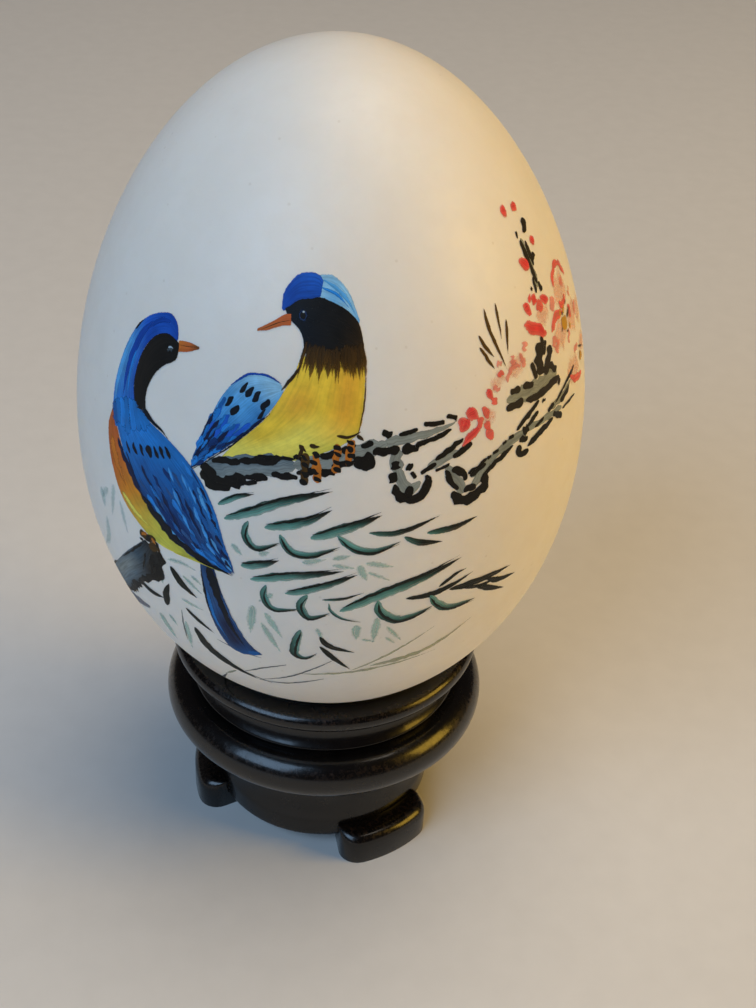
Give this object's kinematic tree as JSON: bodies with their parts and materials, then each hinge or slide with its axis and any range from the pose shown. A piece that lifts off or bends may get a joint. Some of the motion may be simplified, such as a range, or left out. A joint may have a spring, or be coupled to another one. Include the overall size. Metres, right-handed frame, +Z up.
{
  "type": "painted egg on stand",
  "caption": "Hollow goose egg with a brush-painted bird and blossom scene, resting loose in a small turned black wooden ring stand on block feet.",
  "frame": {"origin": "middle of the stand on the surface that its feet rest on", "axes": "+Z up along the axis of the egg and the stand, -Y towards the painted side, +X to the right of the painting"},
  "size_m": [0.058, 0.058, 0.1028],
  "materials": {
    "eggshell": "satin",
    "membrane": "matte",
    "black_lacquer": "gloss lacquer",
    "brush_paint": "brushed gouache and ink"
  },
  "bodies": {
    "stand": {"seat_collar": "black_lacquer", "belt_ring": "black_lacquer", "apron_ring": "black_lacquer", "foot_front": "black_lacquer", "foot_rear": "black_lacquer", "foot_left": "black_lacquer"},
    "egg": {"egg_shell": "eggshell", "shell_membrane": "membrane"}
  },
  "joints": [
    {"name": "egg_lift", "type": "slide", "parent": "stand", "child": "egg", "axis": [0, 0, 1], "range_m": [0, 0.03]}
  ]
}
